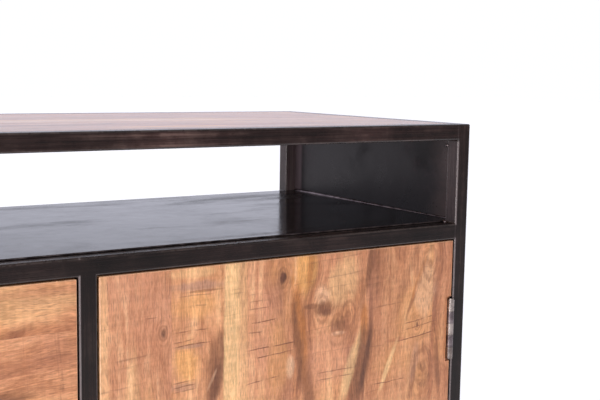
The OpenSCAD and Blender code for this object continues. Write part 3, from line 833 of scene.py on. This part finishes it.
LEFT_LINES = (
    (86, 140, 60, 0.05, 0.8), (86, 132, 68, 0.05, 0.6), (176, 230, 150, 0.04, 0.8),
    (178, 226, 160, 0.04, 0.6), (350, 450, 210, 0.08, 0.8), (352, 440, 222, 0.08, 0.6),
    (250, 330, 400, 0.03, 0.7), (10, 76, 300, 0.05, 0.7),
)

NOTCH = 5 * MM                              # from the pin's axis to the notch's sides
NOTCH_BELOW, NOTCH_ABOVE = 3 * MM, 2.3 * MM # from the pin's ends to the notch's
KNUCKLES = 5
DOOR_KNUCKLES = (0, 2, 4)
KNUCKLE_GAP = 0.02                          # of a knuckle's length
PIN_FOOT, PIN_HEAD = 0.5 * MM, 1.2 * MM     # what of the pin stands outside the barrel
STRAP_LAP, STRAP_LIP = 0.8 * MM, 0.2 * MM   # over the wood beside the notch, and into it
STRAP_SUNK, WRAP_SUNK = 0.1 * MM, 0.8 * MM  # behind the door's face
STRAP_DEPTH = 3 * MM


def hinge_straps(side, material):
    """The door leaf's front edge along the notch, and its wraps into knuckles 1, 3 and 5."""
    sign = SIDES[side]
    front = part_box(side + "_door_panel")[0].y
    bm = bmesh.new()
    for points in pieces_of(side + "_hinge_pins"):
        low, high = span(points)
        axis_x = (low.x + high.x) / 2
        bottom, top = low.z + PIN_FOOT, high.z - PIN_HEAD
        step = (top - bottom) / KNUCKLES
        outer = axis_x - sign * (NOTCH + STRAP_LAP)
        inner = axis_x - sign * (NOTCH - STRAP_LIP)
        strips = [(outer, inner, bottom, top, front + STRAP_SUNK)]
        strips += [(outer, axis_x, bottom + (k + KNUCKLE_GAP) * step,
                    bottom + (k + 1 - KNUCKLE_GAP) * step, front + WRAP_SUNK)
                   for k in DOOR_KNUCKLES]
        for x0, x1, z0, z1, y in strips:
            add_lattice(bm, [(Vector((min(x0, x1), y, z0)),
                              Vector((max(x0, x1), front + STRAP_DEPTH, z1)))])
    round_edges(bm, corner_edges(bm), 0.25 * MM, 2)
    solid(side + "_hinge_straps", bm, material, side + "_door", sharp=50)


def hinge_notches(side):
    """The shallow recesses in the door's front corner that the hinge barrels stand in. Each
    is open towards the post."""
    notches = []
    for points in pieces_of(side + "_hinge_pins"):
        low, high = span(points)
        middle = (low + high) / 2
        beyond = middle.x * 2
        notches.append((Vector((min(middle.x - NOTCH, beyond), middle.y - NOTCH,
                                low.z - NOTCH_BELOW)),
                        Vector((max(middle.x + NOTCH, beyond), middle.y + NOTCH,
                                high.z + NOTCH_ABOVE))))
    return notches


def door(side):
    """A door's planks, laid out from its free edge towards its hinges."""
    sign = SIDES[side]
    body = side + "_door"
    low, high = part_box(body + "_panel")
    corner = Vector((low.x if sign > 0 else high.x, low.y, high.z))
    figure = {"right": (RIGHT_PATCHES, RIGHT_KNOTS, RIGHT_LINES),
              "left": (LEFT_PATCHES, LEFT_KNOTS, LEFT_LINES)}[side]
    material = mango("mango_" + body, X, Z, corner, sign, *figure)
    order = slice(None, None, sign)
    planks(body + "_planks", body + "_panel", X, DOOR_SHARES[order], DOOR_TONES[order],
           material, body, 5 + sign, hinge_notches(side))


DRAWER_SHARES = (52, 71, 52)
DRAWER_TONES = {"top": ((1.0, 0.95, 0.9), (1.02, 0.98, 0.93), (1.05, 1.0, 0.95)),
                "middle": ((1.03, 0.98, 0.92), (0.96, 0.92, 0.88), (1.0, 0.97, 0.95)),
                "bottom": ((0.95, 0.9, 0.86), (1.03, 1.0, 0.95), (0.98, 0.94, 0.9))}
DRAWER_PATCHES = {
    "top": ((20, 80, 20, 90, 0, CREAM, 0.45), (84, 60, 9, 80, 0, RED, 0.35),
            (114, 110, 9, 60, 0.05, BROWN, 0.75), (121, 92, 5, 40, 0, DARK, 0.5),
            (102, 130, 5, 40, 0, YELLOW, 0.6), (10, 40, 5, 60, 0, RED, 0.35),
            (60, 230, 16, 110, 0.05, YELLOW, 0.3), (130, 330, 12, 90, 0, RED, 0.35)),
    "middle": ((40, 300, 14, 120, 0, BROWN, 0.45), (110, 120, 18, 100, 0.05, CREAM, 0.5),
               (150, 360, 12, 80, 0, RED, 0.4)),
    "bottom": ((70, 200, 12, 150, 0.03, BROWN, 0.45), (30, 90, 18, 80, 0, YELLOW, 0.35),
               (140, 320, 16, 90, -0.05, CREAM, 0.5)),
}
DRAWER_KNOTS = {"top": ((120, 260, 5, 0.6),), "middle": ((60, 150, 6, 0.7),),
                "bottom": ((130, 90, 5, 0.5),)}


def drawer(name):
    """A drawer front, with the grain running across."""
    body = name + "_drawer"
    low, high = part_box(body + "_front")
    corner = Vector((high.x, low.y, high.z))
    material = mango("mango_" + body, Z, X, corner, -1, DRAWER_PATCHES[name],
                     DRAWER_KNOTS[name])
    planks(body + "_planks", body + "_front", Z, DRAWER_SHARES, DRAWER_TONES[name], material,
           body, 31 + len(name))


TOP_SHARES = (78, 66, 84, 70, 72)
TOP_TONES = ((0.66, 0.68, 0.76), (0.72, 0.72, 0.8), (0.8, 0.8, 0.9), (0.7, 0.71, 0.8),
             (0.8, 0.8, 0.88))
TOP_PATCHES = (
    (40, 365, 13, 75, 0, YELLOW, 0.95), (40, 365, 7, 60, 0, ORANGE, 0.6),
    (12, 400, 12, 500, 0, GREY, 0.6), (176, 420, 16, 300, 0, PALE, 0.7),
    (150, 700, 18, 200, 0.03, BROWN, 0.7), (60, 250, 18, 160, 0.05, RED, 0.7),
    (96, 640, 12, 300, 0, DARK, 0.5), (200, 420, 14, 200, 0, CREAM, 0.6),
    (230, 900, 22, 240, -0.03, CREAM, 0.5), (300, 420, 16, 260, 0.02, PINK, 0.5),
    (330, 1150, 18, 200, 0, BROWN, 0.4), (90, 1200, 20, 160, 0.04, CREAM, 0.5),
)
TOP_KNOTS = ((110, 420, 7, 0.7), (250, 180, 6, 0.6), (190, 1020, 8, 0.8), (320, 760, 6, 0.5),
             (40, 1300, 6, 0.7))


def wooden_top():
    """The top's planks, with the grain running from end to end."""
    low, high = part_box("top_panel")
    corner = Vector((high.x, low.y, high.z))
    material = mango("mango_top", Y, X, corner, 1, TOP_PATCHES, TOP_KNOTS, coat=0.45)
    planks("top_planks", "top_panel", Y, TOP_SHARES, TOP_TONES, material, "carcass", 77)


# ---------- handles and screws ----------

HANDLE_EASE = 1.2 * MM
# Screw heads from the middle of the face outwards, as shares of the head's radius with a
# height: a share of the head's for a pan head, millimetres for a flat one. The third value
# draws the ring in as a cross.
PAN_HEAD = ((0.44, 0.6, 0.4), (0.5, 0.04, 0.4), (0.6, 0), (0.84, 0.12), (1, 0.4), (1, 1))
FLAT_HEAD = ((0.42, 0.5, 0.4), (0.5, 0, 0.4), (0.62, 0), (1, 0.02))
FLAT_HEAD_DEPTH = 1 * MM
TALLEST_FLAT_RIM = 0.5 * MM
SCREW_POINT, POINT_SHARE = 1.5 * MM, 0.4


def handle(body, material):
    """A pull of square bar: a long grip on two legs, with its corners eased."""
    node = body + "_handle"
    low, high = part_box(node)
    run = longest(high - low)
    bar = min(high - low)
    grip = Vector(high)
    grip.y = low.y + bar
    leg_near, leg_far = Vector(high), Vector(low)
    leg_near[run] = low[run] + bar
    leg_far[run] = high[run] - bar
    bm = bmesh.new()
    add_lattice(bm, [(low, grip), (low, leg_near), (leg_far, high)])
    round_edges(bm, corner_edges(bm), HANDLE_EASE, 3, slot=1)
    solid(node + "_bar", bm, [material, rubbed_lacquer(node + "_corners")], body,
          [node], 50)


def screws(node, body, material):
    """Screws with crossed recesses and pointed ends, where the CAD has plain ones."""
    bm = bmesh.new()
    for points in pieces_of(node):
        low, high = span(points)
        run = longest(high - low)
        length = (high - low)[run]
        middle = (low + high) / 2

        def off_axis(point):
            away = point - middle
            away[run] = 0
            return away.length

        head = max(off_axis(p) for p in points)
        rim = [p[run] for p in points if off_axis(p) > head * 0.95]
        shank = min(off_axis(p) for p in points if off_axis(p) > 0.5 * MM)
        at_low = max(rim) < middle[run]
        axis = AXES[run] * (1 if at_low else -1)
        base = Vector(middle)
        base[run] = low[run] if at_low else high[run]
        tall = max(rim) - min(rim)
        if tall > TALLEST_FLAT_RIM:
            shape, unit, depth = PAN_HEAD, tall, tall
        else:
            shape, unit, depth = FLAT_HEAD, MM, FLAT_HEAD_DEPTH
        profile = [(head * share, unit * height, *cross) for share, height, *cross in shape]
        profile += [(shank, depth), (shank, length - SCREW_POINT),
                    (shank * POINT_SHARE, length)]
        add_lathe(bm, base, axis, profile)
    solid(node + "_turned", bm, material, body, [node], 40)


# ---------- CAD nodes that keep their shape ----------

EASED_ANGLE = 40    # sharper corners than this, in degrees, are eased


def dress(material, *nodes, edge=0.0):
    """Gives CAD nodes a material, and eases their edges."""
    for name in nodes:
        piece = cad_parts[name]
        piece.data.materials.clear()
        piece.data.materials.append(material)
        if edge:
            weld = piece.modifiers.new("weld", "WELD")
            weld.merge_threshold = MERGE
            bevel = piece.modifiers.new("eased_edges", "BEVEL")
            bevel.width = edge
            bevel.segments = 2
            bevel.limit_method = "ANGLE"
            bevel.angle_limit = math.radians(EASED_ANGLE)
            weigh(piece)


# ---------- stage and light ----------

FLOOR_SIZE = 60
FLOOR_DIM_AT, FLOOR_LIT_AT = -5, -2     # along Y: grey in front of the first, white past the other
FLOOR_GREY, FLOOR_WHITE = (0.55, 0.55, 0.55, 1), (0.9, 0.9, 0.9, 1)
FLOOR_GLOW = 0.36
# The studio's walls by their direction along Y, from 0 in front to 1 behind the object
FRONT_WALL_AT, BACK_WALL_AT = 0.25, 0.62
FRONT_WALL, BACK_WALL = (0.36, 0.335, 0.32, 1), (1.0, 1.01, 1.16, 1)


def add_floor():
    """A white floor that glows a little, so that it meets the white background."""
    bpy.ops.mesh.primitive_plane_add(size=FLOOR_SIZE)
    floor = bpy.context.object
    floor.name = "floor"
    g = Graph("floor_white")
    lit = g.rescale(g.xyz()[Y], FLOOR_DIM_AT, FLOOR_LIT_AT)
    g.set(Base_Color=g.mix(lit, FLOOR_GREY, FLOOR_WHITE), Roughness=0.85,
          Emission_Color=(1, 1, 1, 1), Emission_Strength=g.times(lit, FLOOR_GLOW))
    floor.data.materials.append(g.material)


def add_lamp(name, place, target, size, power):
    """A rectangular lamp in watts that looks at the target and stays out of the picture."""
    data = bpy.data.lights.new(name, "AREA")
    data.shape = "RECTANGLE"
    data.size, data.size_y = size
    data.energy = power
    lamp = bpy.data.objects.new(name, data)
    bpy.context.scene.collection.objects.link(lamp)
    lamp.location = place
    lamp.rotation_euler = (Vector(target) - Vector(place)).to_track_quat("-Z", "Y").to_euler()
    lamp.visible_camera = False


def add_light():
    """A white studio, dimmer in front of the object than behind it, with a tall softbox on the
    left and a narrow one in front."""
    world = bpy.data.worlds.new("studio")
    bpy.context.scene.world = world
    world.use_nodes = True
    tree = world.node_tree
    direction = tree.nodes.new("ShaderNodeTexCoord").outputs["Generated"]
    parts = tree.nodes.new("ShaderNodeSeparateXYZ")
    level = tree.nodes.new("ShaderNodeValToRGB")
    level.color_ramp.interpolation = "EASE"
    front, back = level.color_ramp.elements
    front.position, front.color = FRONT_WALL_AT, FRONT_WALL
    back.position, back.color = BACK_WALL_AT, BACK_WALL
    halved = tree.nodes.new("ShaderNodeMath")
    halved.operation = "MULTIPLY_ADD"
    halved.inputs[1].default_value = halved.inputs[2].default_value = 0.5
    tree.links.new(direction, parts.inputs[0])
    tree.links.new(parts.outputs["Y"], halved.inputs[0])
    tree.links.new(halved.outputs[0], level.inputs[0])
    tree.links.new(level.outputs[0], tree.nodes["Background"].inputs["Color"])
    bpy.context.scene.view_settings.view_transform = "Standard"
    add_lamp("softbox", (-2.9, -1.7, 1.15), (0.3, -0.1, 0.5), (1.2, 2.2), 84)
    add_lamp("strip", (0.1, -3.3, 1.3), (0.3, -0.2, 0.5), (0.3, 1.2), 11)


# ---------- the object ----------

def build():
    bar = brushed_lacquer("bar_lacquer", Y)
    zinc = steel("zinc_steel", linear(205, 203, 198), linear(150, 148, 144))
    bright = steel("hinge_steel", linear(168, 156, 150), linear(108, 97, 93), (0.2, 0.32))
    dull = steel("hinge_dark_steel", linear(140, 128, 130), linear(84, 74, 76), (0.26, 0.46))
    plastic = moulded("black_plastic", linear(34, 33, 33))
    stain = (linear(52, 40, 34), linear(88, 68, 54))
    board = plain_board("stained_board", X, *stain, 0.5)
    upright = plain_board("stained_upright", Z, *stain, 0.5)
    box_wood = plain_board("drawer_wood", Y, linear(176, 132, 90), linear(208, 168, 124), 0.45)
    batten = plain_board("batten_wood", X, linear(160, 112, 80), linear(196, 150, 112), 0.42)

    welded_frame()
    welds(dull)
    sheets(dull)
    wooden_top()
    for side in SIDES:
        door(side)
    for name in DRAWERS:
        drawer(name)

    dress(board, "bottom_panel", "back_panel", "left_inner_shelf", "right_inner_shelf",
          edge=0.6 * MM)
    dress(upright, "left_partition", "right_partition", edge=0.6 * MM)
    dress(bar, "cross_bars", "inner_shelf_cleats", edge=0.4 * MM)
    dress(plastic, "foot_caps", "door_catches", edge=0.4 * MM)
    dress(zinc, "drawer_runners", edge=0.4 * MM)
    dress(dull, "hinge_post_leaves", edge=0.3 * MM)
    screws("carcass_screws", "carcass", zinc)
    screws("hinge_post_screws", "carcass", zinc)
    for side in SIDES:
        body = side + "_door"
        dress(batten, body + "_battens", edge=1.2 * MM)
        dress(zinc, side + "_strike_plate", edge=0.3 * MM)
        dress(bright, side + "_hinge_door_leaves", side + "_hinge_pins", edge=0.3 * MM)
        hinge_straps(side, bright)
        handle(body, bar)
        screws(body + "_screws", body, zinc)
    for name in DRAWERS:
        body = name + "_drawer"
        dress(box_wood, body + "_box", edge=0.8 * MM)
        handle(body, bar)
        screws(body + "_screws", body, zinc)


add_camera()
build()
add_floor()
add_light()
